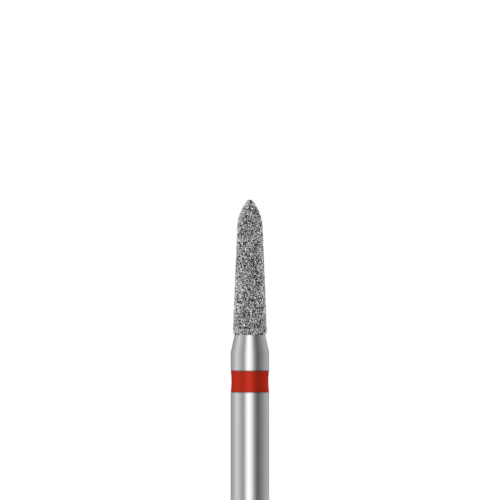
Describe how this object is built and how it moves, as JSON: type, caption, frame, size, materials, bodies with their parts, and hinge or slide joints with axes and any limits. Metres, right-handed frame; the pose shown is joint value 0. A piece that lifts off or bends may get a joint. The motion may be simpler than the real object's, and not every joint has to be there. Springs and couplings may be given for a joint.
{
  "type": "dental bur",
  "caption": "Tapered, ogive-nosed dental bur with a fine diamond grit head, a short cone neck, a red colour ring and a friction-grip shank, for shaping teeth in a turbine handpiece.",
  "frame": {"origin": "centre of the shank's flat end face", "axes": "+Z runs along the bur's axis, from the shank's end to the tip of the head"},
  "size_m": [0.0016, 0.0016, 0.019],
  "materials": {
    "ground_steel": "centreless-ground stainless steel, satin",
    "diamond_grit": "fine diamond grains half sunk in a matte nickel bond",
    "red_lacquer": "satin"
  },
  "bodies": {
    "root": {"steel_blank": "ground_steel", "diamond_coating": "diamond_grit", "colour_ring": "red_lacquer"}
  },
  "joints": []
}
